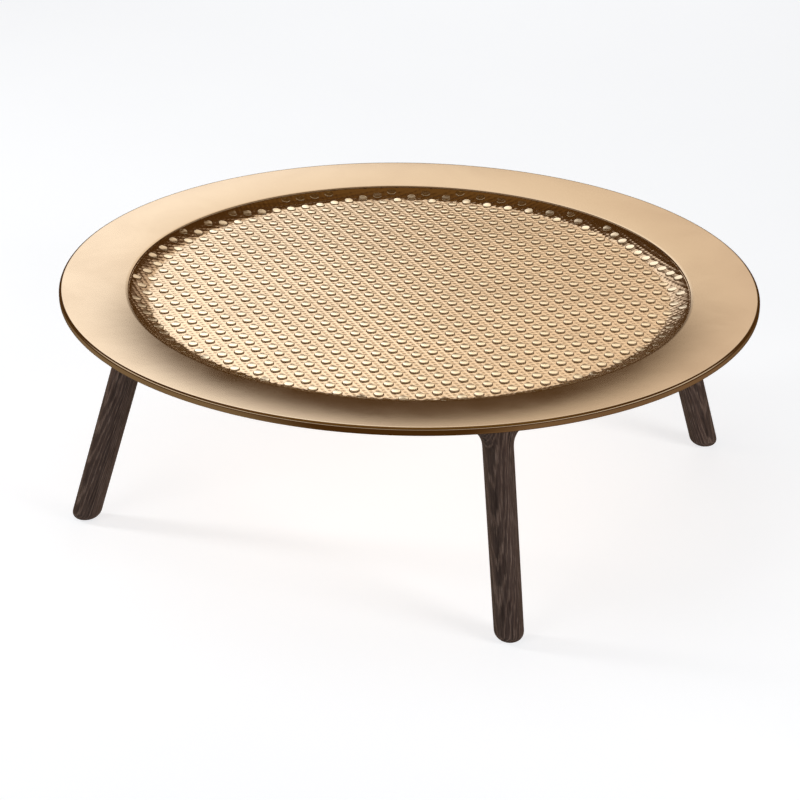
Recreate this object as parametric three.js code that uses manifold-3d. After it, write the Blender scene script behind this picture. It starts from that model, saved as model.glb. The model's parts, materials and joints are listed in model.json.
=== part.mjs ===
// Low round table with a pressed brass tray top on four splayed ash legs.
// Millimetres, +Z up. The origin is on the floor, under the centre of the top.
import * as THREE from 'three';
import { mergeVertices } from 'three/addons/utils/BufferGeometryUtils.js';
import Module from 'manifold-3d';

const wasm = await Module();
wasm.setup();

// ---- Driving dimensions ----

// Clearance between neighbouring pieces.
const clearance = 0.3;

// Tray top: two brass sheets, the smooth rim and the pressed dish.
const rim_radius = 500;
const rim_height = 325;
const rim_width = 98;
const rim_tilt = 3.4;
const rim_dip = 3.2;
const sheet = 1.5;
const lip_height = 12;
const lip_round = 4;
const hem_width = 16;
const dish_depth = 19;
const wall_width = 29;
const wall_foot_pull = 3;
const wall_head_pull = 8;
const wall_head_slope = 33 * Math.PI / 180;
const seat_width = 12;

// Plywood parts that carry the brass.
const panel_thickness = 10;
const panel_overlap = 36;
const core_toe_height = 1;
const core_chamfer_width = 14;
const core_chamfer_height = 7.5;

// Underframe: a ring of four curved segments joined by loose tongues.
const leg_count = 4;
const first_leg_angle = 17 * Math.PI / 180;
const frame_thickness = 15.6;
const tongue_length = 40;
const tongue_width = 24;
const tongue_thickness = 5;

// Legs: round and splayed, with an oval flare under the underframe.
const leg_inset = 100;
const leg_splay = 16 * Math.PI / 180;
const leg_top_radius = 20.8;
const leg_foot_radius = 20;
const foot_round = 12;
const flare_height = 27;
const flare_land = 1;

// Leg joint: bolt, threaded insert and dowel.
const bolt_radius = 4;
const bolt_in_leg = 18;
const bolt_head_radius = 6.5;
const bolt_head_height = 8;
const bolt_socket_radius = 3.4;
const bolt_socket_depth = 4;
const insert_radius = 6;
const insert_length = 20;
const dowel_radius = 4;
const dowel_in_leg = 13;
const dowel_in_frame = 8;
const dowel_offset = 16;

// Countersunk wood screws.
const screw_radius = 2.2;
const screw_head_radius = 4.2;
const screw_head_height = 2.6;
const screw_rim_height = 0.4;
const frame_screw_in_panel = 5.2;
const frame_screws_per_leg = 2;
const frame_screw_spread = 50 * Math.PI / 180;
const core_screw_in_core = 7.6;
const core_screws_per_leg = 2;

// Felt glide with a nail, under each foot.
const glide_radius = 7.5;
const glide_thickness = 1.5;
const nail_radius = 1.4;
const nail_length = 16;

// Roundness of the round pieces.
const ring_segments = 72;
const curve_steps = 5;
const leg_segments = 20;
const arc_steps = 10;
const pin_segments = 14;
const screw_segments = 8;

// ---- Places worked out from the driving dimensions ----

const seam_radius = rim_radius - rim_width;
const lip_centre_radius = rim_radius - lip_round;
const seat_radius = seam_radius + seat_width;
const floor_radius = seam_radius - wall_width;
const floor_height = rim_height - dish_depth;
const hem_radius = rim_radius - hem_width;

const panel_top = floor_height - sheet - clearance;
const panel_bottom = panel_top - panel_thickness;
const panel_radius = seam_radius + panel_overlap;
const frame_top = panel_bottom - clearance;
const frame_bottom = frame_top - frame_thickness;
const frame_radius = rim_radius - leg_inset;
const frame_half_width = leg_top_radius / Math.cos(leg_splay);
const leg_top = frame_bottom - clearance;
const leg_angle_step = 2 * Math.PI / leg_count;

const bolt_seat = frame_top - clearance - bolt_head_height;
const frame_screw_face = frame_bottom + clearance;
const frame_screw_tip = panel_bottom + frame_screw_in_panel;
const core_screw_face = panel_bottom + clearance;
const core_screw_tip = panel_top + clearance + core_screw_in_core;
const core_screw_radius = (frame_radius + frame_half_width + panel_radius) / 2;

// ---- Materials ----

const material = (color, roughness, metalness) =>
  new THREE.MeshStandardMaterial({ color, roughness, metalness });

const finish = {
  brass: material(0xd9b988, 0.3, 1),
  wood: material(0x43332c, 0.6, 0),
  plywood: material(0xb08d62, 0.75, 0),
  beech: material(0xc9a677, 0.7, 0),
  steel: material(0x8d9095, 0.35, 1),
  felt: material(0x2b2624, 0.95, 0),
};

// ---- Tools ----

const part = new THREE.Group();

function addMesh(group, name, geometry, look) {
  const mesh = new THREE.Mesh(geometry, look);
  mesh.name = name;
  group.add(mesh);
  return mesh;
}

// Turns a closed outline of [radius, height] pairs, given anticlockwise, about the Z axis.
function turned(outline, segments) {
  const points = outline.map(([radius, height]) => new THREE.Vector2(radius, height));
  return new THREE.LatheGeometry(points, segments).rotateX(Math.PI / 2);
}

// Closes an outline that doesn't touch the axis, so that it turns into a ring.
const ring = (outline, segments) => turned([...outline, outline[0]], segments);

const cylinder = (radius, bottom, top, segments) =>
  turned([[0, bottom], [radius, bottom], [radius, top], [0, top]], segments);

const box = (x, y, z) => new THREE.BoxGeometry(x, y, z);

// Welds a closed mesh and drops the empty triangles that a lathe leaves on its axis.
function toManifold(geometry) {
  const bare = geometry.clone();
  bare.deleteAttribute('normal');
  bare.deleteAttribute('uv');
  const welded = mergeVertices(bare, 1e-4);
  const index = welded.index.array;
  const triangles = [];
  for (let i = 0; i < index.length; i += 3) {
    const [a, b, c] = [index[i], index[i + 1], index[i + 2]];
    if (a !== b && b !== c && c !== a) triangles.push(a, b, c);
  }
  return new wasm.Manifold(new wasm.Mesh({
    numProp: 3,
    vertProperties: new Float32Array(welded.attributes.position.array),
    triVerts: new Uint32Array(triangles),
  }));
}

function toGeometry(solid) {
  const { vertProperties, triVerts } = solid.getMesh();
  const geometry = new THREE.BufferGeometry();
  geometry.setAttribute('position', new THREE.BufferAttribute(vertProperties, 3));
  geometry.setIndex(new THREE.BufferAttribute(triVerts, 1));
  return geometry;
}

function cut(geometry, cutters) {
  let solid = toManifold(geometry);
  for (const cutter of cutters) {
    solid = solid.subtract(toManifold(cutter));
  }
  return toGeometry(solid);
}

// A point on a ring, and a geometry moved there and turned to face along the radius.
function atAngle(geometry, radius, angle) {
  return geometry.translate(radius, 0, 0).rotateZ(angle);
}

// ---- Tray top ----

// Height of the rim's upper face, which tilts inwards, and ever more so towards the seam.
function rimTop(radius) {
  const share = Math.max(0, (lip_centre_radius - radius) / (lip_centre_radius - seam_radius));
  return rim_height - rim_tilt * share - rim_dip * share ** 2;
}

// Points along the rim's face, moved down by some distance.
function rimCurve(from, to, steps, down) {
  return Array.from({ length: steps + 1 }, (_, i) => {
    const radius = from + (to - from) * i / steps;
    return [radius, rimTop(radius) - down];
  });
}

// Points of a quarter circle between two angles.
function arc(centre, radius, start, end, steps) {
  return Array.from({ length: steps + 1 }, (_, i) => {
    const angle = start + (end - start) * i / steps;
    return [centre[0] + radius * Math.cos(angle), centre[1] + radius * Math.sin(angle)];
  });
}

function rimGeometry() {
  const upper = [lip_centre_radius, rim_height - lip_round];
  const lower = [lip_centre_radius, rim_height - lip_height + lip_round];
  const inner_round = lip_round - sheet;
  return ring([
    ...rimCurve(seam_radius, lip_centre_radius, curve_steps, sheet).slice(0, -1),
    ...arc(upper, inner_round, Math.PI / 2, 0, 2),
    ...arc(lower, inner_round, 0, -Math.PI / 2, 2),
    [hem_radius, rim_height - lip_height + sheet],
    [hem_radius, rim_height - lip_height],
    ...arc(lower, lip_round, -Math.PI / 2, 0, 2),
    ...arc(upper, lip_round, 0, Math.PI / 2, 3),
    ...rimCurve(lip_centre_radius, seam_radius, curve_steps, 0).slice(1),
  ], ring_segments);
}

// The dish's upper face from the flat floor up the wall to the seam.
function wallCurve(down) {
  const head = rimTop(seam_radius) - sheet - clearance;
  const curve = new THREE.CubicBezierCurve(
    new THREE.Vector2(floor_radius, floor_height),
    new THREE.Vector2(floor_radius + wall_foot_pull, floor_height),
    new THREE.Vector2(
      seam_radius - wall_head_pull * Math.cos(wall_head_slope),
      head - wall_head_pull * Math.sin(wall_head_slope),
    ),
    new THREE.Vector2(seam_radius, head),
  );
  return curve.getPoints(curve_steps).map((point) => [point.x, point.y - down]);
}

function dishGeometry() {
  const seat = (down) => rimCurve(seam_radius, seat_radius, 2, sheet + clearance + down).slice(1);
  const upper = [[0, floor_height], ...wallCurve(0), ...seat(0)];
  const lower = [[0, floor_height - sheet], ...wallCurve(sheet), ...seat(sheet)];
  return turned([...lower, ...upper.reverse()], ring_segments);
}

// The core ring's inner edge follows the dish's wall from below.
function coreGeometry() {
  const outer = hem_radius - clearance;
  const bottom = panel_top + clearance;
  const step = seat_radius + clearance;
  const under_rim = sheet + clearance;
  const under_wall = wallCurve(under_rim + clearance).slice(0, -1)
    .filter(([, height]) => height > bottom + core_toe_height);
  return ring([
    [under_wall[0][0], bottom],
    [outer - core_chamfer_width, bottom],
    [outer, bottom + core_chamfer_height],
    ...rimCurve(outer, step, curve_steps, under_rim),
    ...rimCurve(step, seam_radius, 1, 2 * under_rim),
    ...under_wall.reverse(),
  ], ring_segments);
}

// ---- Fasteners ----

// A countersunk screw that points up, from the flat face of its head to its tip.
// It can be grown on all sides, to cut the hole it sits in.
function screwGeometry(face, tip, grow) {
  return turned([
    [0, face - grow],
    [screw_head_radius + grow, face - grow],
    [screw_head_radius + grow, face + screw_rim_height],
    [screw_radius + grow, face + screw_head_height],
    [screw_radius + grow, tip + grow],
    [0, tip + grow],
  ], screw_segments);
}

const frameScrew = (grow) => screwGeometry(frame_screw_face, frame_screw_tip, grow);

const coreScrew = (grow) => screwGeometry(core_screw_face, core_screw_tip, grow);

function boltGeometry() {
  const tip = leg_top - bolt_in_leg;
  const head_top = bolt_seat + bolt_head_height;
  const body = turned([
    [0, tip],
    [bolt_radius, tip],
    [bolt_radius, bolt_seat],
    [bolt_head_radius, bolt_seat],
    [bolt_head_radius, head_top],
    [0, head_top],
  ], pin_segments);
  const socket = cylinder(bolt_socket_radius, head_top - bolt_socket_depth, head_top + 1, 6);
  return cut(body, [socket]);
}

function insertGeometry() {
  const top = leg_top - clearance;
  const bore = bolt_radius + clearance;
  return ring([
    [bore, top - insert_length],
    [insert_radius, top - insert_length],
    [insert_radius, top],
    [bore, top],
  ], pin_segments);
}

// The dowel stands in the flare beside the bolt and reaches up into the frame.
function dowelGeometry(grow) {
  const bottom = leg_top - dowel_in_leg;
  const top = frame_bottom + dowel_in_frame;
  return cylinder(dowel_radius + grow, bottom - grow, top + grow, pin_segments)
    .translate(0, dowel_offset, 0);
}

function glideGeometry(grow) {
  return turned([
    [0, 0],
    [glide_radius, 0],
    [glide_radius, glide_thickness - clearance],
    [nail_radius + grow, glide_thickness - clearance],
    [nail_radius + grow, nail_length + grow],
    [0, nail_length + grow],
  ], pin_segments);
}

// ---- Legs ----

const legRadius = (height) =>
  leg_foot_radius + (leg_top_radius - leg_foot_radius) * height / leg_top;

const legShift = (height) => (leg_top - height) * Math.tan(leg_splay);

// How far the flare stands out sideways: a quarter circle that ends in a short land.
function flareWidth(height) {
  const rise = Math.max(0, height - (leg_top - flare_land - flare_height));
  const run = Math.min(rise, flare_height);
  return flare_height - Math.sqrt(flare_height ** 2 - run ** 2);
}

// The leg is turned upright, then widened into the oval flare and sheared outwards.
function legGeometry() {
  const corner = [legRadius(glide_thickness + foot_round) - foot_round, glide_thickness + foot_round];
  const flare_base = leg_top - flare_land - flare_height;
  const flare_curve = Array.from({ length: curve_steps }, (_, i) => {
    const height = flare_base + flare_height * Math.sin(Math.PI / 2 * (i + 1) / curve_steps);
    return [legRadius(height), height];
  });
  const geometry = turned([
    [0, glide_thickness],
    ...arc(corner, foot_round, -Math.PI / 2, 0, 4),
    [legRadius(flare_base), flare_base],
    ...flare_curve,
    [legRadius(leg_top), leg_top],
    [0, leg_top],
  ], leg_segments);
  const position = geometry.attributes.position;
  for (let i = 0; i < position.count; i += 1) {
    const [x, y, z] = [position.getX(i), position.getY(i), position.getZ(i)];
    const widen = (legRadius(z) + flareWidth(z)) / legRadius(z);
    position.setXYZ(i, x / Math.cos(leg_splay) + legShift(z), y * widen, z);
  }
  const bore_radius = insert_radius + clearance;
  const bore_bottom = leg_top - clearance - insert_length - clearance;
  const bore = cylinder(bore_radius, bore_bottom, leg_top + 1, pin_segments);
  const nail_hole = glideGeometry(clearance).translate(legShift(0), 0, 0);
  return cut(geometry, [bore, dowelGeometry(clearance), nail_hole]);
}

// ---- Underframe ----

// One curved segment, centred on the X axis, with its slots and holes.
function segmentGeometry() {
  const half_angle = leg_angle_step / 2 - clearance / 2 / frame_radius;
  const outline = new THREE.Shape();
  outline.absarc(0, 0, frame_radius + frame_half_width, -half_angle, half_angle, false);
  outline.absarc(0, 0, frame_radius - frame_half_width, half_angle, -half_angle, true);
  const blank = new THREE.ExtrudeGeometry(outline, {
    depth: frame_thickness,
    bevelEnabled: false,
    curveSegments: arc_steps,
  }).translate(0, 0, frame_bottom);
  const cutters = [-1, 1].map((side) => tongueGeometry(clearance, side * leg_angle_step / 2));
  for (let i = 0; i < frame_screws_per_leg; i += 1) {
    cutters.push(atAngle(frameScrew(clearance), frame_radius, frameScrewAngle(i)));
  }
  const head_seat = bolt_seat - clearance;
  const wide = bolt_head_radius + clearance;
  const narrow = bolt_radius + clearance;
  const bolt_hole = turned([
    [0, frame_bottom - 1],
    [narrow, frame_bottom - 1],
    [narrow, head_seat],
    [wide, head_seat],
    [wide, frame_top + 1],
    [0, frame_top + 1],
  ], pin_segments);
  cutters.push(bolt_hole.translate(frame_radius, 0, 0));
  cutters.push(dowelGeometry(clearance).translate(frame_radius, 0, 0));
  return cut(blank, cutters);
}

function tongueGeometry(grow, angle) {
  const geometry = box(tongue_width + 2 * grow, tongue_length + 2 * grow, tongue_thickness + 2 * grow);
  geometry.translate(0, 0, (frame_top + frame_bottom) / 2);
  return atAngle(geometry, frame_radius, angle);
}

const frameScrewAngle = (i) =>
  frame_screw_spread * (i / (frame_screws_per_leg - 1) - 0.5);

const coreScrewAngle = (i) => leg_angle_step * (i + 0.5) / core_screws_per_leg;

function panelGeometry() {
  const blank = cylinder(panel_radius, panel_bottom, panel_top, ring_segments);
  const cutters = [];
  for (let leg = 0; leg < leg_count; leg += 1) {
    const turn = first_leg_angle + leg * leg_angle_step;
    for (let i = 0; i < frame_screws_per_leg; i += 1) {
      cutters.push(atAngle(frameScrew(clearance), frame_radius, turn + frameScrewAngle(i)));
    }
    for (let i = 0; i < core_screws_per_leg; i += 1) {
      cutters.push(atAngle(coreScrew(clearance), core_screw_radius, turn + coreScrewAngle(i)));
    }
  }
  return cut(blank, cutters);
}

function boredCore() {
  const cutters = [];
  for (let i = 0; i < leg_count * core_screws_per_leg; i += 1) {
    cutters.push(atAngle(coreScrew(clearance), core_screw_radius, first_leg_angle + coreScrewAngle(i)));
  }
  return cut(coreGeometry(), cutters);
}

// ---- Assembly ----

addMesh(part, 'brass_rim', rimGeometry(), finish.brass);
addMesh(part, 'embossed_dish', dishGeometry(), finish.brass);
addMesh(part, 'rim_core_ring', boredCore(), finish.plywood);
addMesh(part, 'support_panel', panelGeometry(), finish.plywood);

for (let leg = 0; leg < leg_count; leg += 1) {
  const corner = new THREE.Group();
  corner.rotation.z = first_leg_angle + leg * leg_angle_step;
  part.add(corner);
  const number = leg + 1;
  addMesh(corner, `frame_segment_${number}`, segmentGeometry(), finish.wood);
  addMesh(corner, `joint_tongue_${number}`, tongueGeometry(0, leg_angle_step / 2), finish.beech);

  const station = new THREE.Group();
  station.position.x = frame_radius;
  corner.add(station);
  addMesh(station, `leg_${number}`, legGeometry(), finish.wood);
  addMesh(station, `leg_insert_${number}`, insertGeometry(), finish.steel);
  addMesh(station, `leg_bolt_${number}`, boltGeometry(), finish.steel);
  addMesh(station, `leg_dowel_${number}`, dowelGeometry(0), finish.beech);
  const glide = addMesh(station, `foot_glide_${number}`, glideGeometry(0), finish.felt);
  glide.position.x = legShift(0);

  for (let i = 0; i < frame_screws_per_leg; i += 1) {
    const screw = atAngle(frameScrew(0), frame_radius, frameScrewAngle(i));
    addMesh(corner, `frame_screw_${leg * frame_screws_per_leg + i + 1}`, screw, finish.steel);
  }
  for (let i = 0; i < core_screws_per_leg; i += 1) {
    const screw = atAngle(coreScrew(0), core_screw_radius, coreScrewAngle(i));
    addMesh(corner, `core_screw_${leg * core_screws_per_leg + i + 1}`, screw, finish.steel);
  }
}

export default part;
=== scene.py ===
"""Low round tray table: an embossed brass tray top on four splayed legs of dark stained ash."""

import json
import math

import bpy
import numpy as np
from mathutils import Matrix, Vector


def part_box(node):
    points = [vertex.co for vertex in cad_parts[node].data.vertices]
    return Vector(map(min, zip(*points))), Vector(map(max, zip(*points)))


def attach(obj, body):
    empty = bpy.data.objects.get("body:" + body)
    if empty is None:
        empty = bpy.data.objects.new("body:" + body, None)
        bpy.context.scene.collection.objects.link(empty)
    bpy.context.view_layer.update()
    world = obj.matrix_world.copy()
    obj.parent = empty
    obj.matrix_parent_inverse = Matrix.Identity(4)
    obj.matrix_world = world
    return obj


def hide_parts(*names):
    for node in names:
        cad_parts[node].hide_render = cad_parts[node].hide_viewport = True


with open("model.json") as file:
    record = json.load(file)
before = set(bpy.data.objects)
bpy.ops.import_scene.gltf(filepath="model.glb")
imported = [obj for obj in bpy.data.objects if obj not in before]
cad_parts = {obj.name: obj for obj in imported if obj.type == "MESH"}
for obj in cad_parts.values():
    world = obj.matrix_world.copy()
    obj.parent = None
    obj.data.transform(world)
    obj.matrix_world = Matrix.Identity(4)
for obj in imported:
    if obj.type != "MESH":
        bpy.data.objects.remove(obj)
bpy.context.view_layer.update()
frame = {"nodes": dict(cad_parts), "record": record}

MM = 0.001

# ---- Sizes, in metres ----


def reach(node):
    """The smallest and largest distance of a CAD node from the table's axis."""
    spots = np.array([vertex.co for vertex in frame["nodes"][node].data.vertices])
    distances = np.hypot(spots[:, 0], spots[:, 1])
    return float(distances.min()), float(distances.max())


def centre(node):
    low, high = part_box(node)
    return (low + high) / 2


seam_radius, rim_radius = reach("brass_rim")
rim_low, rim_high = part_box("brass_rim")
rim_height = rim_high.z
lip_bottom = rim_low.z
seat_radius = reach("embossed_dish")[1]
sheet = 1.5 * MM
clearance = 0.3 * MM
floor_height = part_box("embossed_dish")[0].z + sheet

rim_tilt = 3.4 * MM
rim_dip = 3.2 * MM
lip_round = 4 * MM
hem_width = 16 * MM
hem_bead = 1.4 * MM
seam_round = 1.6 * MM

wall_width = 29 * MM
wall_foot_pull = 3 * MM
wall_head_pull = 8 * MM
wall_head_slope = math.radians(33)
floor_radius = seam_radius - wall_width

# The relief: a square lattice of discs, with small pits and crossing grooves between them.
pitch = 24.35 * MM
lattice_turn = math.radians(24.47)
lattice_shift = (-156.4 * MM, -38.6 * MM)
disc_radius = 7.15 * MM
disc_height = 1.6 * MM
disc_segments = 22
pit_depth = 0.5 * MM
pit_radius = 2.9 * MM
pit_offset = 0.3
groove_depth = 0.16 * MM
groove_width = 1.9 * MM
cell_steps = 10

# How discs and metal change towards the seam: the discs flatten, and painted shade darkens the wall's
# metal and its discs. Disc tops on the wall are partly level.
top_level = 0.38
disc_gap = 0.4 * MM
disc_overhang = 0.7
wall_overlap = 2.2 * MM
# Where the ramp up the wall begins and how wide it is: it flattens the discs there and brings in the
# painted shade.
wall_ramp_start = 13 * MM
wall_ramp_width = 24 * MM
# Painted shade: the wall's metal and the discs on it are coloured darker, standing in for the steep
# wall's dim reflection.
wall_painted_shade = 0.6
wall_flattening = 0.5
wall_disc_painted_shade = 0.5

leg_count = 4
leg_top = centre("leg_1").z * 2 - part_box("leg_1")[0].z
leg_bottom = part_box("leg_1")[0].z
leg_top_radius = 20.8 * MM
leg_foot_radius = 20 * MM
foot_round = 12 * MM
flare_height = 27 * MM
flare_land = 1 * MM

# Where the tree's heart lay, beside each leg, and how its rings ran.
heart_distance = 34 * MM
heart_bearings = (110, 60, 205, 130)
trunk_taper = 0.045
ring_spacing = 2.4 * MM
grain_step = (0.09, 0.05, 0.31)

# ---- Mesh tools ----


def new_piece(name, vertices, faces, attributes=None):
    """A smooth-shaded mesh object, with any named float attributes on its vertices."""
    mesh = bpy.data.meshes.new(name)
    mesh.from_pydata([tuple(v) for v in vertices], [], faces)
    mesh.update()
    mesh.shade_smooth()
    for key, values in (attributes or {}).items():
        values = np.asarray(values, np.float32)
        kind, field = ("FLOAT", "value") if values.ndim == 1 else ("FLOAT_VECTOR", "vector")
        mesh.attributes.new(key, kind, "POINT").data.foreach_set(field, values.ravel())
    piece = bpy.data.objects.new(name, mesh)
    bpy.context.scene.collection.objects.link(piece)
    return piece


def ring_faces(rings, around, closed_profile):
    """Quads between rings of points that are stored one ring after another."""
    faces = []
    for i in range(rings if closed_profile else rings - 1):
        here, there = i * around, (i + 1) % rings * around
        for k in range(around):
            after = (k + 1) % around
            faces.append((here + k, here + after, there + after, there + k))
    return faces


def arc(mid, radius, start, end, steps):
    angles = np.linspace(math.radians(start), math.radians(end), steps + 1)
    return [(mid[0] + radius * math.cos(a), mid[1] + radius * math.sin(a)) for a in angles]


# ---- Brass rim ----


def rim_top(radius):
    """The rim's face tilts inwards, and ever more so towards the seam."""
    inwards = (rim_radius - lip_round - radius) / (rim_radius - lip_round - seam_radius)
    share = min(max(inwards, 0.0), 1.0)
    return rim_height - rim_tilt * share - rim_dip * share**2


def make_rim():
    """The smooth ring: rounded at the seam and the lip, with the hem folded in under it."""
    around, face_steps, under_steps = 288, 50, 14
    lip_centre = rim_radius - lip_round
    upper = (lip_centre, rim_height - lip_round)
    lower = (lip_centre, lip_bottom + lip_round)
    inner_edge = (seam_radius + seam_round, rim_top(seam_radius) - seam_round)
    land = np.linspace(seam_radius + seam_round, lip_centre, face_steps)[1:-1]
    under = np.linspace(lip_centre, seam_radius + seam_round, under_steps)
    hem_radius = rim_radius - hem_width
    bead = (lip_centre, lip_bottom + hem_bead)
    profile = [
        *arc(inner_edge, seam_round, 180, 90, 5),
        *[(r, rim_top(r)) for r in land],
        *arc(upper, lip_round, 90, 0, 10),
        *arc(lower, lip_round, 0, -35, 4),
        *arc(bead, hem_bead, -20, -90, 4),
        (hem_radius, lip_bottom),
        (hem_radius, lip_bottom + sheet),
        *[(r, rim_top(r) - sheet) for r in under],
    ]
    angles = np.linspace(0, 2 * math.pi, around, endpoint=False)
    vertices = [(r * math.cos(a), r * math.sin(a), z) for r, z in profile for a in angles]
    faces = [face[::-1] for face in ring_faces(len(profile), around, True)]
    return new_piece("rim", vertices, faces)


# ---- Embossed dish ----


def wall_profile():
    """Radius and height along the dish, from the flat floor up the wall and out to the seat."""
    head = rim_top(seam_radius) - sheet - clearance
    points = np.array([
        (floor_radius, floor_height),
        (floor_radius + wall_foot_pull, floor_height),
        (seam_radius - wall_head_pull * math.cos(wall_head_slope),
         head - wall_head_pull * math.sin(wall_head_slope)),
        (seam_radius, head),
    ])
    t = np.linspace(0, 1, 80)[:, None]
    curve = (
        (1 - t) ** 3 * points[0]
        + 3 * (1 - t) ** 2 * t * points[1]
        + 3 * (1 - t) * t**2 * points[2]
        + t**3 * points[3]
    )
    seat = np.linspace(seam_radius, seat_radius, 6)[1:]
    seat_curve = np.array([(r, rim_top(r) - sheet - clearance) for r in seat])
    return np.vstack([curve, seat_curve])


dish_profile = wall_profile()


def base_height(radius):
    return np.interp(radius, dish_profile[:, 0], dish_profile[:, 1])


def lattice_axes():
    along = np.array([math.sin(lattice_turn), -math.cos(lattice_turn)]) * pitch
    across = np.array([math.cos(lattice_turn), math.sin(lattice_turn)]) * pitch
    return along, across


def lattice_place(u, v):
    """Where lattice coordinates lie in the table's plan."""
    along, across = lattice_axes()
    return np.array(lattice_shift) + np.outer(u, along) + np.outer(v, across)


def lattice_coordinates(x, y):
    along, across = lattice_axes()
    turn = np.linalg.inv(np.column_stack([along, across]))
    u, v = turn @ np.vstack([x - lattice_shift[0], y - lattice_shift[1]])
    return u, v


def pit(x, y):
    """Share of full depth of the small punched pits: five in a cross between every four discs."""
    u, v = lattice_coordinates(x, y)
    u, v = u % 1, v % 1
    share = np.zeros_like(u)
    for du, dv in ((0, 0), (pit_offset, 0), (-pit_offset, 0), (0, pit_offset), (0, -pit_offset)):
        distance = np.hypot(u - 0.5 - du, v - 0.5 - dv) * pitch / pit_radius
        share = np.maximum(share, np.cos(np.clip(distance, 0, 1) * math.pi / 2) ** 2)
    return share


def groove(x, y):
    """Share of full depth of the fine crossing grooves that join the pits."""
    share = np.zeros_like(x)
    for across in lattice_coordinates(x, y):
        for line in (0.5 - pit_offset, 0.5, 0.5 + pit_offset):
            distance = np.abs(across % 1 - line) * pitch / groove_width
            share = np.maximum(share, np.cos(np.clip(distance, 0, 1) * math.pi / 2) ** 2)
    return share


def relief_height(x, y):
    return base_height(np.hypot(x, y)) - pit_depth * pit(x, y) - groove_depth * groove(x, y)


def wall_ramp_share(distance):
    """How far onto the wall a place lies: 0 out on the floor, and 1 on most of the wall."""
    start = floor_radius - wall_ramp_start
    return np.clip((distance - start) / wall_ramp_width, 0.0, 1.0)


def painted_shade_share(x, y):
    """How much painted shade darkens the metal: in the pits, and up the wall."""
    return np.maximum(pit(x, y), wall_painted_shade * wall_ramp_share(np.hypot(x, y)))


def lattice_reach():
    """Steps of the lattice to each side of its origin that cover the whole dish."""
    spare = 12
    return int(seam_radius / pitch) + spare


def make_dish_floor(border):
    """The flat middle, meshed along the lattice so that every pit has its own vertices."""
    count = lattice_reach()
    steps = np.arange(-count * cell_steps, count * cell_steps + 1)
    size = len(steps)
    u, v = np.meshgrid(steps / cell_steps, steps / cell_steps, indexing="ij")
    spots = lattice_place(u.ravel(), v.ravel())
    distance = np.hypot(spots[:, 0], spots[:, 1])
    inside = distance < border
    outside_scale = np.where(inside, 1.0, border / np.maximum(distance, 1e-9))
    spots = spots * outside_scale[:, None]
    corner = np.arange(size * size).reshape(size, size)
    quads = np.stack(
        [corner[:-1, :-1], corner[1:, :-1], corner[1:, 1:], corner[:-1, 1:]], axis=-1
    ).reshape(-1, 4)
    quads = quads[inside[quads].any(axis=1)]
    used, renumbered = np.unique(quads, return_inverse=True)
    x, y = spots[used, 0], spots[used, 1]
    vertices = np.column_stack([x, y, relief_height(x, y)])
    faces = renumbered.reshape(-1, 4).tolist()
    return new_piece("dish_floor", vertices, faces, {"painted_shade": painted_shade_share(x, y)})


def make_dish_wall(border):
    """The wall and the seat under the rim, as rings that start where the flat middle ends."""
    around, wall_rings, seat_rings = 1250, 22, 4
    radii = np.concatenate([
        np.linspace(border, seam_radius, wall_rings),
        np.linspace(seam_radius, seat_radius, seat_rings)[1:],
    ])
    angles = np.linspace(0, 2 * math.pi, around, endpoint=False)
    r, a = np.meshgrid(radii, angles, indexing="ij")
    x, y = (r * np.cos(a)).ravel(), (r * np.sin(a)).ravel()
    vertices = np.column_stack([x, y, relief_height(x, y)])
    faces = [face[::-1] for face in ring_faces(len(radii), around, False)]
    return new_piece("dish_wall", vertices, faces, {"painted_shade": painted_shade_share(x, y)})


def make_discs():
    """The raised discs of the relief, each pressed up out of the floor or the wall, with painted shade on
    their sloping edges and on the discs up the wall.

    The profile gives shares of the disc's radius and of its height, from the middle outwards.
    """
    profile = [(0, 1), (0.83, 1), (0.925, 0.94), (0.98, 0.65), (1, 0.15), (1.005, -0.3)]
    count = lattice_reach()
    u, v = np.meshgrid(np.arange(-count, count + 1), np.arange(-count, count + 1))
    middles = lattice_place(u.ravel(), v.ravel())
    middles = middles[np.hypot(middles[:, 0], middles[:, 1]) < seam_radius - disc_overhang * disc_radius]
    turn = np.linspace(0, 2 * math.pi, disc_segments, endpoint=False)
    ring_x, ring_y = np.cos(turn), np.sin(turn)
    vertices, faces, disc_painted_shade = [], [], []
    for x0, y0 in middles:
        start = len(vertices)
        middle_height = float(base_height(math.hypot(x0, y0)))
        on_wall = float(wall_ramp_share(math.hypot(x0, y0)))
        rise = disc_height * (1 - wall_flattening * on_wall)
        vertices.append((x0, y0, middle_height + rise))
        # Painted shade on the disc's middle, for discs up the wall.
        disc_painted_shade.append(wall_disc_painted_shade * on_wall)
        for share, height in profile[1:]:
            x = x0 + disc_radius * share * ring_x
            y = y0 + disc_radius * share * ring_y
            distance = np.hypot(x, y)
            over = np.maximum(distance / (seam_radius - disc_gap), 1.0)
            x, y = x / over, y / over
            level = top_level * max(height, 0.0)
            z = base_height(np.hypot(x, y)) * (1 - level) + middle_height * level
            z = z + rise * height
            vertices.extend(zip(x, y, z))
            # Painted shade: darker towards the disc's edge, and on discs up the wall.
            edge_painted_shade = max(wall_disc_painted_shade * on_wall, 1.0 - max(height, 0.0))
            disc_painted_shade.extend([edge_painted_shade] * disc_segments)
        for k in range(disc_segments):
            faces.append((start, start + 1 + k, start + 1 + (k + 1) % disc_segments))
        for face in ring_faces(len(profile) - 1, disc_segments, False):
            faces.append(tuple(start + 1 + corner for corner in face[::-1]))
    return new_piece("raised_discs", vertices, faces, {"painted_shade": disc_painted_shade})


# ---- Legs ----


def flare(height):
    """How far the leg's top stands out sideways, in a quarter circle that ends in a short land."""
    rise = max(0.0, height - (leg_top - flare_land - flare_height))
    return flare_height - math.sqrt(flare_height**2 - min(rise, flare_height) ** 2)


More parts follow.
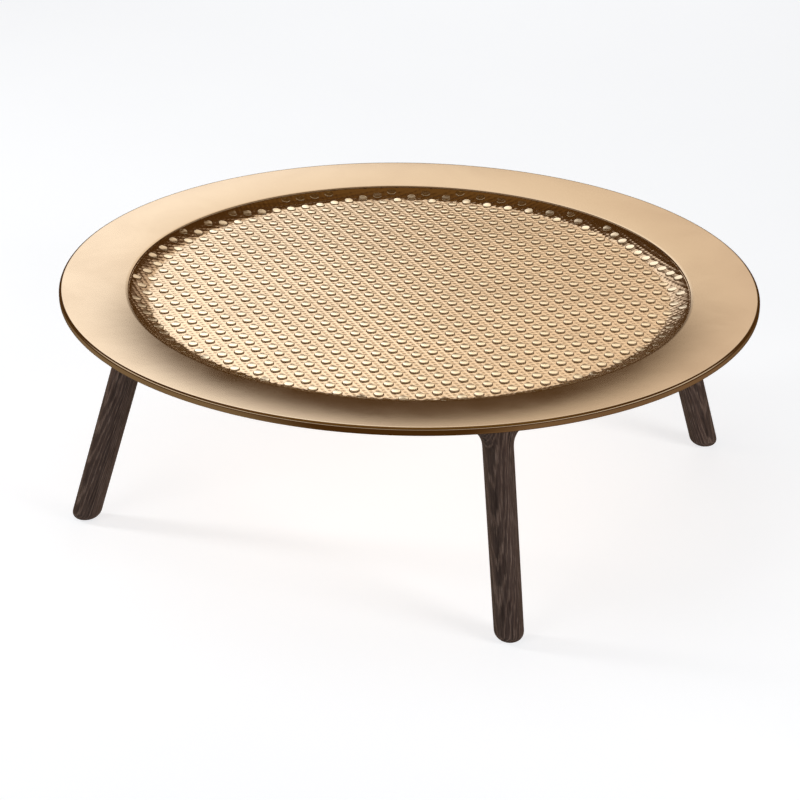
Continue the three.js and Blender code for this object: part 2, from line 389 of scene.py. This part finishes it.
def make_leg(number, heart_bearing):
    """One leg. Its growth rings are tapered cones about a heart line outside the wood."""
    around, foot_steps, shaft_steps, flare_steps = 96, 10, 60, 14
    top = centre(f"leg_insert_{number}")
    foot = centre(f"foot_glide_{number}")
    bearing = math.atan2(top.y, top.x)
    top_reach, foot_reach = math.hypot(top.x, top.y), math.hypot(foot.x, foot.y)
    slope = (foot_reach - top_reach) / (leg_top - foot.z)
    lean = math.atan(slope)
    body = leg_top - leg_bottom

    def radius(height):
        return leg_foot_radius + (leg_top_radius - leg_foot_radius) * height / leg_top

    flare_base = leg_top - flare_land - flare_height
    corner = (radius(leg_bottom + foot_round) - foot_round, leg_bottom + foot_round)
    foot_arc = arc(corner, foot_round, -90, 0, foot_steps)
    shaft = np.linspace(leg_bottom + foot_round, flare_base, shaft_steps)[1:]
    rise = np.linspace(0, math.pi / 2, flare_steps)[1:]
    heights = [*shaft, *(flare_base + flare_height * np.sin(rise)), leg_top]
    rings = [*foot_arc, *[(radius(h), h) for h in heights]]
    angles = np.linspace(0, 2 * math.pi, around, endpoint=False)
    vertices, grain, growth = [], [], []
    heart = heart_distance * np.array([math.cos(heart_bearing), math.sin(heart_bearing)])
    for r, h in rings:
        for a in angles:
            out = r / math.cos(lean) * math.cos(a)
            side = (r + flare(h)) * math.sin(a)
            vertices.append((top_reach + (leg_top - h) * slope + out, side, h))
            grain.append((out, side, h / math.cos(lean)))
            growth.append(math.hypot(out - heart[0], side - heart[1]) + trunk_taper * h)
    bottom = len(vertices)
    vertices.append((top_reach + (leg_top - leg_bottom) * slope, 0, leg_bottom))
    grain.append((0, 0, leg_bottom))
    growth.append(heart_distance)
    vertices.append((top_reach, 0, leg_top))
    grain.append((0, 0, body))
    growth.append(heart_distance)
    faces = ring_faces(len(rings), around, False)
    last = (len(rings) - 1) * around
    for k in range(around):
        after = (k + 1) % around
        faces.append((bottom, after, k))
        faces.append((bottom + 1, last + k, last + after))
    turn = Matrix.Rotation(bearing, 3, "Z")
    vertices = [turn @ Vector(v) for v in vertices]
    grain = np.array(grain) + np.array(grain_step) * number
    return new_piece(f"table_leg_{number}", vertices, faces, {"grain": grain, "growth": growth})


# ---- Shader tools ----


class Look:
    """A node material with a few shorthands for procedural textures."""

    def __init__(self, name, **settings):
        self.material = bpy.data.materials.new(name)
        self.material.use_nodes = True
        self.tree = self.material.node_tree
        self.shader = self.tree.nodes["Principled BSDF"]
        self.set(**settings)

    def node(self, kind, **inputs):
        made = self.tree.nodes.new(kind)
        for key, value in inputs.items():
            self.feed(made.inputs[key], value)
        return made

    def feed(self, socket, value):
        if isinstance(value, bpy.types.NodeSocket):
            self.tree.links.new(value, socket)
        else:
            socket.default_value = value

    def place(self, scale=(1, 1, 1), attribute=None):
        """Object coordinates, or a vertex attribute, stretched per axis."""
        if attribute:
            source = self.node("ShaderNodeAttribute")
            source.attribute_name = attribute
            out = source.outputs["Vector"]
        else:
            out = self.node("ShaderNodeTexCoord").outputs["Object"]
        stretched = self.node("ShaderNodeVectorMath", Vector=out)
        stretched.operation = "MULTIPLY"
        stretched.inputs[1].default_value = scale
        return stretched.outputs[0]

    def value(self, attribute):
        source = self.node("ShaderNodeAttribute")
        source.attribute_name = attribute
        return source.outputs["Fac"]

    def noise(self, vector, scale, detail=4.0, roughness=0.55, distortion=0.0):
        made = self.node(
            "ShaderNodeTexNoise", Vector=vector, Scale=scale, Detail=detail,
            Roughness=roughness, Distortion=distortion,
        )
        return made.outputs["Fac"]

    def spread(self, value, low, high, to_low=0.0, to_high=1.0):
        made = self.node("ShaderNodeMapRange")
        for slot, number in zip(made.inputs[:5], (value, low, high, to_low, to_high)):
            self.feed(slot, number)
        return made.outputs[0]

    def maths(self, operation, a, b=0.0):
        made = self.node("ShaderNodeMath")
        made.operation = operation
        self.feed(made.inputs[0], a)
        self.feed(made.inputs[1], b)
        return made.outputs[0]

    def mix(self, share, a, b):
        made = self.node("ShaderNodeMix")
        made.data_type = "RGBA"
        for index, item in ((0, share), (6, a), (7, b)):
            self.feed(made.inputs[index], item)
        return made.outputs[2]

    def bump(self, height, depth, strength=1.0):
        made = self.node("ShaderNodeBump", Height=height, Distance=depth, Strength=strength)
        self.tree.links.new(made.outputs[0], self.shader.inputs["Normal"])

    def set(self, **inputs):
        for key, value in inputs.items():
            wanted = key.replace("_", " ")
            self.feed(next(s for s in self.shader.inputs if s.name.lower() == wanted), value)


def rgb(red, green, blue):
    """Linear colour from display values of 0 to 255."""
    channels = [c / 255 for c in (red, green, blue)]
    return (*[((c + 0.055) / 1.055) ** 2.4 if c > 0.04 else c / 12.92 for c in channels], 1)


# ---- Materials ----


def brass_look(name, tone, tarnish_and_shade, roughness, painted_shade):
    """Satin brass: clouded tone, faint handling marks, and painted shade, a darker colour mixed in along
    a vertex attribute.
    """
    look = Look(name, metallic=1.0)
    clouds = look.noise(look.place(), scale=9, detail=5, roughness=0.6, distortion=0.4)
    speckle = look.noise(look.place(), scale=260, detail=3, roughness=0.7)
    share = look.spread(clouds, 0.42, 0.78, to_high=0.07)
    colour = look.mix(share, tone, tarnish_and_shade)
    fine = look.spread(speckle, 0.58, 0.74, to_high=0.10)
    colour = look.mix(fine, colour, tarnish_and_shade)
    # Painted shade: the darker colour is mixed in where the vertex attribute says, up to the given
    # strength.
    if painted_shade:
        depth = look.spread(look.value("painted_shade"), 0.15, 1.0, to_high=painted_shade)
        colour = look.mix(depth, colour, tarnish_and_shade)
    look.set(base_color=colour)
    look.set(roughness=look.spread(clouds, 0.3, 0.75, roughness - 0.02, roughness + 0.03))
    waves = look.noise(look.place(), scale=46, detail=2, roughness=0.4)
    surface = look.maths("ADD", waves, look.maths("MULTIPLY", speckle, 0.12))
    look.bump(surface, depth=0.0002, strength=0.12)
    return look.material


def ash_look(name, attribute, rings):
    """Open-grained ash under a dark stain: arched growth rings, with pores paler than the wood."""
    look = Look(name, roughness=0.55, specular_ior_level=0.4)
    wander = look.noise(look.place((1, 1, 0.25), attribute), scale=55, detail=3, roughness=0.55)
    waver = look.noise(look.place((1, 1, 0.08), attribute), scale=260, detail=2, roughness=0.5)
    if rings:
        distance = look.value(rings)
    else:
        layers = look.noise(look.place((1, 1, 3)), scale=12, detail=2, roughness=0.4)
        distance = look.maths("MULTIPLY", layers, 0.05)
    bent = look.maths("ADD", distance, look.maths("MULTIPLY", wander, 0.0055))
    bent = look.maths("ADD", bent, look.maths("MULTIPLY", waver, 0.0012))
    bands = look.maths("SINE", look.maths("MULTIPLY", bent, 2 * math.pi / ring_spacing))
    early = look.spread(bands, 0.1, 1.0)
    fibres = look.noise(look.place((1, 1, 0.03), attribute), scale=1500, detail=3, roughness=0.65)
    dashes = look.noise(look.place((1, 1, 0.05), attribute), scale=720, detail=2, roughness=0.6)
    streaks = look.noise(look.place((1, 1, 0.03), attribute), scale=150, detail=3, roughness=0.6)
    colour = look.mix(look.spread(streaks, 0.34, 0.68), rgb(39, 28, 25), rgb(74, 57, 50))
    colour = look.mix(look.maths("MULTIPLY", early, 0.5), colour, rgb(98, 78, 67))
    colour = look.mix(look.spread(dashes, 0.54, 0.68, to_high=0.55), colour, rgb(30, 21, 18))
    openness = look.spread(early, 0.0, 1.0, to_low=0.3)
    pores = look.maths("MULTIPLY", look.spread(fibres, 0.5, 0.64), openness)
    colour = look.mix(look.maths("MULTIPLY", pores, 0.7), colour, rgb(142, 122, 110))
    look.set(base_color=colour)
    look.set(roughness=look.spread(fibres, 0.35, 0.7, 0.42, 0.64))
    surface = look.maths("SUBTRACT", streaks, look.maths("ADD", pores, dashes))
    look.bump(surface, depth=0.0006, strength=0.5)
    return look.material


def plywood_look():
    """Thin veneers in turn: light face grain, with a darker glue line between them."""
    look = Look("plywood", roughness=0.7, specular_ior_level=0.3)
    plies = look.node("ShaderNodeTexWave", Vector=look.place(), Scale=52.0, Distortion=0.4)
    plies.bands_direction = "Z"
    grain = look.noise(look.place((1, 14, 1)), scale=14, detail=5, roughness=0.6)
    colour = look.mix(look.spread(grain, 0.35, 0.7), rgb(196, 160, 116), rgb(168, 130, 88))
    colour = look.mix(look.spread(plies.outputs["Fac"], 0.75, 1.0, to_high=0.6), colour, rgb(120, 86, 54))
    look.set(base_color=colour)
    look.bump(grain, depth=0.0003, strength=0.4)
    return look.material


def beech_look():
    look = Look("beech", roughness=0.6, specular_ior_level=0.3)
    flecks = look.noise(look.place((1, 1, 0.2)), scale=420, detail=3, roughness=0.6)
    grain = look.noise(look.place((1, 1, 0.3)), scale=60, detail=3, roughness=0.5)
    colour = look.mix(look.spread(grain, 0.35, 0.7), rgb(214, 178, 134), rgb(190, 150, 104))
    look.set(base_color=look.mix(look.spread(flecks, 0.6, 0.7, to_high=0.5), colour, rgb(140, 98, 62)))
    look.bump(flecks, depth=0.0002, strength=0.3)
    return look.material


def steel_look():
    """Zinc-plated steel with a soft crystal pattern and a few scuffs."""
    look = Look("steel", metallic=1.0)
    crystals = look.noise(look.place(), scale=340, detail=4, roughness=0.7)
    scuffs = look.noise(look.place((1, 1, 6)), scale=900, detail=2, roughness=0.6)
    colour = look.mix(look.spread(crystals, 0.3, 0.75), rgb(196, 198, 202), rgb(150, 152, 158))
    look.set(base_color=colour)
    look.set(roughness=look.spread(scuffs, 0.3, 0.7, 0.26, 0.5))
    look.bump(scuffs, depth=0.0001, strength=0.3)
    return look.material


def felt_look():
    look = Look("felt", roughness=0.95, sheen_weight=0.4, specular_ior_level=0.1)
    fuzz = look.noise(look.place(), scale=1500, detail=4, roughness=0.75)
    look.set(base_color=look.mix(look.spread(fuzz, 0.3, 0.7), rgb(34, 29, 27), rgb(66, 58, 54)))
    look.bump(fuzz, depth=0.0006, strength=0.8)
    return look.material


# The disc brass is a brighter copy of the dish brass: a painted highlight on the disc tops. Each brass's
# last setting is its strength of painted shade.
disc_brass_painted_highlight = brass_look(
    "disc_brass_painted_highlight", rgb(255, 241, 210), rgb(118, 78, 42), roughness=0.16, painted_shade=0.8
)
rim_brass = brass_look(
    "rim_brass", rgb(201, 180, 151), rgb(146, 106, 68), roughness=0.13, painted_shade=0.0
)
dish_brass = brass_look(
    "dish_brass", rgb(236, 211, 176), rgb(126, 85, 48), roughness=0.19, painted_shade=0.75
)
leg_ash = ash_look("leg_ash", "grain", "growth")
frame_ash = ash_look("frame_ash", None, None)
looks = {
    "rim_brass": rim_brass,
    "dish_brass": dish_brass,
    "ash_wood": frame_ash,
    "plywood": plywood_look(),
    "beech": beech_look(),
    "steel": steel_look(),
    "felt": felt_look(),
}

# ---- Pieces ----


def finish_piece(piece, look, slot, *nodes):
    piece.data.materials.append(look)
    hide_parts(*nodes)
    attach(piece, "root")


wall_start = floor_radius - wall_overlap
finish_piece(make_rim(), rim_brass, "rim_brass", "brass_rim")
finish_piece(make_dish_floor(wall_start), dish_brass, "dish_brass", "embossed_dish")
finish_piece(make_dish_wall(wall_start), dish_brass, "dish_brass", "embossed_dish")
finish_piece(make_discs(), disc_brass_painted_highlight, "dish_brass", "embossed_dish")
for leg_number in range(1, leg_count + 1):
    leg = make_leg(leg_number, math.radians(heart_bearings[leg_number - 1]))
    finish_piece(leg, leg_ash, "ash_wood", f"leg_{leg_number}")

for subpart in frame["record"]["subparts"]:
    node = frame["nodes"].get(subpart["node"])
    if node and not node.hide_render:
        node.data.materials.clear()
        node.data.materials.append(looks[subpart["material_slot"]])

# ---- Floor and light ----

floor_half = 40
floor_glow_strength = 0.74
floor_tint = (0.97, 0.98, 1, 1)

# Colours of the studio that the brass mirrors.
studio_strength = 1.85
dark = (0.052, 0.025, 0.0065)
overhead = (0.115, 0.066, 0.022)
panel_left = (0.91, 0.88, 0.86)
panel_mid = (0.66, 0.58, 0.49)
panel_right = (0.61, 0.52, 0.44)
side = (0.52, 0.49, 0.46)
rear = (0.27, 0.25, 0.23)
ground_left = (0.16, 0.12, 0.075)
ground_right = (0.15, 0.10, 0.06)

# Bearings in degrees from the back of the room, and the colour at each.
panel_bearings = [
    (-180, rear), (-110, side), (-64, side), (-52, dark), (-13.5, dark), (-10.5, panel_left),
    (-3.5, panel_left), (2, panel_mid), (7, panel_right), (9.7, panel_right), (11.5, dark),
    (52, dark), (64, side), (110, side), (180, rear),
]
ground_bearings = [
    (-180, dark), (-150, dark), (-120, ground_left), (-50, ground_left), (-20, dark),
    (20, dark), (60, ground_right), (140, ground_right), (160, dark), (180, dark),
]

# Heights in degrees, and the share of the second of two colours at each.
ground_heights = [(-80, 1), (-60, 0), (-16, 0), (-6, 1)]
panel_heights = [(18.6, 0), (23.8, 1), (36, 1), (44, 0)]
overhead_heights = [(52, 0), (66, 1)]

# The panels' lower edge rises a little towards the middle of the back.
panel_dip = 0.032
panel_dip_width = math.radians(9)

table_middle = (0, 0, 0.2)


def make_floor():
    signs = [(-1, -1), (1, -1), (1, 1), (-1, 1)]
    corners = [(x * floor_half, y * floor_half, 0) for x, y in signs]
    floor = new_piece("floor", corners, [(0, 1, 2, 3)])
    look = Look("floor", roughness=0.9, specular_ior_level=0.0)
    grain = look.noise(look.place(), scale=3, detail=2, roughness=0.5)
    look.set(base_color=look.mix(grain, rgb(182, 182, 182), rgb(188, 188, 188)))
    look.shader.inputs["Emission Color"].default_value = floor_tint
    look.shader.inputs["Emission Strength"].default_value = floor_glow_strength
    floor.data.materials.append(look.material)
    floor.visible_glossy = False


def make_light(name, spot, target, size, power):
    light = bpy.data.lights.new(name, "AREA")
    light.shape = "DISK"
    light.size = size
    light.energy = power
    lamp = bpy.data.objects.new(name, light)
    bpy.context.scene.collection.objects.link(lamp)
    lamp.location = spot
    lamp.rotation_mode = "QUATERNION"
    lamp.rotation_quaternion = (Vector(target) - Vector(spot)).to_track_quat("-Z", "Y")
    lamp.visible_glossy = False
    lamp.visible_camera = False


def make_world():
    """A studio dome for reflections: panels at a low height, and brown above, below and between them."""
    world = bpy.data.worlds.new("studio")
    world.use_nodes = True
    bpy.context.scene.world = world
    tree = world.node_tree
    tree.nodes.clear()

    def add(kind):
        return tree.nodes.new(kind)

    direction = add("ShaderNodeTexCoord")
    split = add("ShaderNodeSeparateXYZ")
    tree.links.new(direction.outputs["Generated"], split.inputs[0])
    up = add("ShaderNodeMapRange")
    up.inputs[1].default_value = -1
    up.inputs[2].default_value = 1
    tree.links.new(split.outputs["Z"], up.inputs[0])
    around = add("ShaderNodeMath")
    around.operation = "ARCTAN2"
    tree.links.new(split.outputs["X"], around.inputs[0])
    tree.links.new(split.outputs["Y"], around.inputs[1])
    turn = add("ShaderNodeMapRange")
    turn.inputs[1].default_value = -math.pi
    turn.inputs[2].default_value = math.pi
    tree.links.new(around.outputs[0], turn.inputs[0])

    def ramp(source, stops):
        made = add("ShaderNodeValToRGB")
        elements = made.color_ramp.elements
        while len(elements) < len(stops):
            elements.new(0.5)
        for element, (position, colour) in zip(elements, stops):
            element.position = position
            element.color = (*colour, 1)
        tree.links.new(source, made.inputs[0])
        return made.outputs[0]

    panels = ramp(turn.outputs[0], [(a / 360 + 0.5, colour) for a, colour in panel_bearings])
    ground = ramp(turn.outputs[0], [(a / 360 + 0.5, colour) for a, colour in ground_bearings])

    def by_height(height, low, high, stops):
        share = ramp(height, [(math.sin(math.radians(a)) / 2 + 0.5, (c, c, c)) for a, c in stops])
        mixed = add("ShaderNodeMix")
        mixed.data_type = "RGBA"
        tree.links.new(share, mixed.inputs[0])
        for socket, item in ((mixed.inputs[6], low), (mixed.inputs[7], high)):
            if isinstance(item, tuple):
                socket.default_value = (*item, 1)
            else:
                tree.links.new(item, socket)
        return mixed.outputs[2]

    lift = add("ShaderNodeMapRange")
    for index, number in ((1, -panel_dip_width), (2, panel_dip_width), (3, -1), (4, 1)):
        lift.inputs[index].default_value = number
    tree.links.new(around.outputs[0], lift.inputs[0])
    bow = add("ShaderNodeMath")
    bow.operation = "ABSOLUTE"
    tree.links.new(lift.outputs[0], bow.inputs[0])
    raised = add("ShaderNodeMath")
    raised.operation = "MULTIPLY_ADD"
    raised.inputs[1].default_value = panel_dip
    tree.links.new(bow.outputs[0], raised.inputs[0])
    tree.links.new(up.outputs[0], raised.inputs[2])

    under = by_height(up.outputs[0], ground, dark, ground_heights)
    lit = by_height(raised.outputs[0], under, panels, panel_heights)
    lit = by_height(up.outputs[0], lit, overhead, overhead_heights)
    glow = add("ShaderNodeBackground")
    glow.inputs[1].default_value = studio_strength
    tree.links.new(lit, glow.inputs[0])
    plain = add("ShaderNodeBackground")
    plain.inputs[0].default_value = (1, 1, 1, 1)
    path = add("ShaderNodeLightPath")
    choose = add("ShaderNodeMixShader")
    tree.links.new(path.outputs["Is Camera Ray"], choose.inputs[0])
    tree.links.new(glow.outputs[0], choose.inputs[1])
    tree.links.new(plain.outputs[0], choose.inputs[2])
    out = add("ShaderNodeOutputWorld")
    tree.links.new(choose.outputs[0], out.inputs[0])
    world.cycles_visibility.diffuse = False


make_floor()
make_world()
make_light("overhead", spot=(-0.6, 0.3, 3.2), target=table_middle, size=2.4, power=17)
make_light("key", spot=(-3.0, 0.6, 1.3), target=(0, 0, 0), size=0.6, power=38)
make_light("fill_left", spot=(-2.6, -2.8, 1.8), target=table_middle, size=2.6, power=36)
make_light("fill_right", spot=(2.8, -1.8, 1.3), target=table_middle, size=1.6, power=58)
make_light("fill_back", spot=(0.3, 3.6, 1.8), target=table_middle, size=2.6, power=20)
bpy.context.scene.view_settings.view_transform = "Standard"

# ---- Camera ----

camera_distance = 3.4728
camera_elevation = math.radians(22.085)
camera_pitch = math.radians(24.985)
camera_yaw = math.radians(-0.1915)
camera_roll = math.radians(1.032)
camera_lens = 108.6
camera_sensor = 36


def make_camera():
    """A long lens at the photo's viewing angle, at a set distance from the middle of the rim."""
    camera = bpy.data.cameras.new("camera")
    camera.sensor_width = camera_sensor
    camera.lens = camera_lens
    camera.clip_start, camera.clip_end = 0.05, 200
    holder = bpy.data.objects.new("camera", camera)
    bpy.context.scene.collection.objects.link(holder)
    back = camera_distance * math.cos(camera_elevation)
    holder.location = Vector((0, -back, rim_height + camera_distance * math.sin(camera_elevation)))
    forward = Vector((
        math.sin(camera_yaw) * math.cos(camera_pitch),
        math.cos(camera_yaw) * math.cos(camera_pitch),
        -math.sin(camera_pitch),
    ))
    level = forward.cross(Vector((0, 0, 1))).normalized()
    upright = level.cross(forward)
    right = level * math.cos(camera_roll) + upright * math.sin(camera_roll)
    top = upright * math.cos(camera_roll) - level * math.sin(camera_roll)
    holder.rotation_mode = "QUATERNION"
    holder.rotation_quaternion = Matrix((right, top, -forward)).transposed().to_quaternion()
    bpy.context.scene.camera = holder


make_camera()
